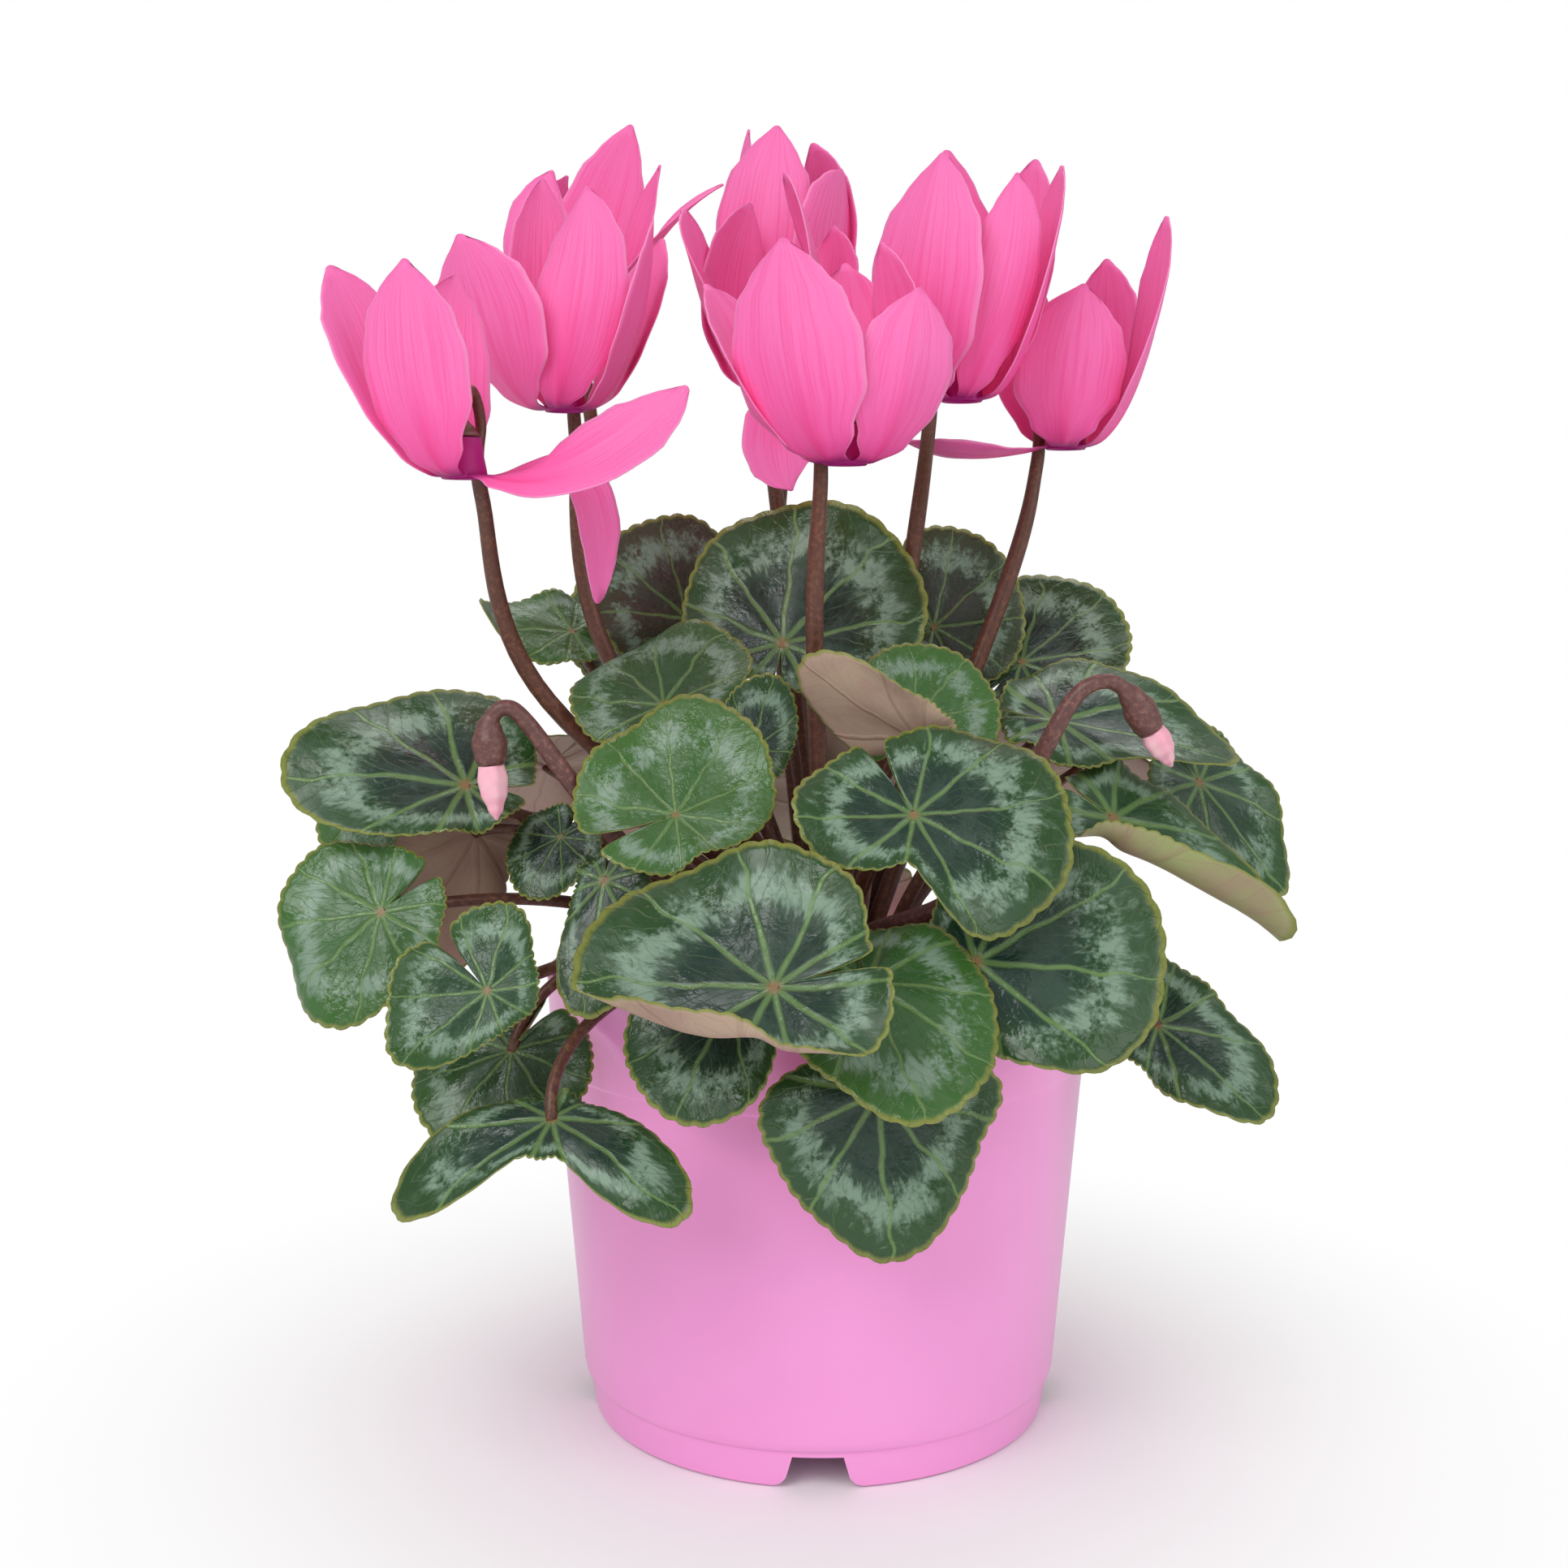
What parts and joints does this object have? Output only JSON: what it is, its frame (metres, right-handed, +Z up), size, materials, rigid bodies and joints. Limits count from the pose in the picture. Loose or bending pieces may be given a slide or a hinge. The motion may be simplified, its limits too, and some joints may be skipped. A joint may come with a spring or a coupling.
{
  "type": "potted cyclamen",
  "caption": "Flowering cyclamen with silver-marbled heart-shaped leaves and upswept pink petals, growing in a round tapered plastic pot.",
  "frame": {"origin": "middle of the object's bounding box, on the plane that the pot's foot stands on", "axes": "+Z up along the pot's axis, -Y towards the front, +X to the right seen from the front"},
  "size_m": [0.214, 0.1978, 0.2895],
  "materials": {
    "pot_plastic": "glossy moulded plastic",
    "potting_soil": "dark crumbly peat",
    "tuber_skin": "rough corky skin",
    "leaf_green": "satin green with silver marbling",
    "scape_brown": "satin red-brown",
    "petal_pink": "soft satin pink",
    "bud_pink": "soft satin pale pink"
  },
  "bodies": {
    "root": {"bud_left_petals": "bud_pink", "bud_left_scape": "scape_brown", "bud_right_petals": "bud_pink", "bud_right_scape": "scape_brown", "flower_back_left_petals": "petal_pink", "flower_back_left_scape": "scape_brown", "flower_back_top_petals": "petal_pink", "flower_back_top_scape": "scape_brown", "flower_centre_back_petals": "petal_pink", "flower_centre_back_scape": "scape_brown", "flower_front_petals": "petal_pink", "flower_front_scape": "scape_brown", "flower_left_front_petals": "petal_pink", "flower_left_front_scape": "scape_brown", "flower_left_second_petals": "petal_pink", "flower_left_second_scape": "scape_brown", "flower_right_centre_petals": "petal_pink", "flower_right_centre_scape": "scape_brown", "flower_right_petals": "petal_pink", "flower_right_scape": "scape_brown", "leaf_back_centre_left": "leaf_green", "leaf_back_centre_right": "leaf_green", "leaf_back_left": "leaf_green", "leaf_back_low": "leaf_green", "leaf_back_right": "leaf_green", "leaf_back_top": "leaf_green", "leaf_back_top_left": "leaf_green", "leaf_back_top_right": "leaf_green", "leaf_centre_left": "leaf_green", "leaf_centre_small": "leaf_green", "leaf_far_left_back": "leaf_green", "leaf_folded_pink": "leaf_green", "leaf_front_hanging": "leaf_green", "leaf_front_large": "leaf_green", "leaf_front_right_large": "leaf_green", "leaf_green_front": "leaf_green", "leaf_left_dark": "leaf_green", "leaf_left_drooping": "leaf_green", "leaf_left_heart": "leaf_green", "leaf_left_large": "leaf_green", "leaf_left_second": "leaf_green", "leaf_left_shiny": "leaf_green", "leaf_left_under": "leaf_green", "leaf_left_upper": "leaf_green", "leaf_left_upturned": "leaf_green", "leaf_light_green": "leaf_green", "leaf_right_back": "leaf_green", "leaf_right_drooping": "leaf_green", "leaf_right_folded": "leaf_green", "leaf_right_front": "leaf_green", "leaf_right_upper": "leaf_green", "leaf_under_front": "leaf_green", "leaf_upper_back_left": "leaf_green", "leaf_upper_centre": "leaf_green", "leaf_upper_left": "leaf_green", "leaf_upper_right": "leaf_green", "pot": "pot_plastic", "soil": "potting_soil", "tuber": "tuber_skin"}
  },
  "joints": []
}
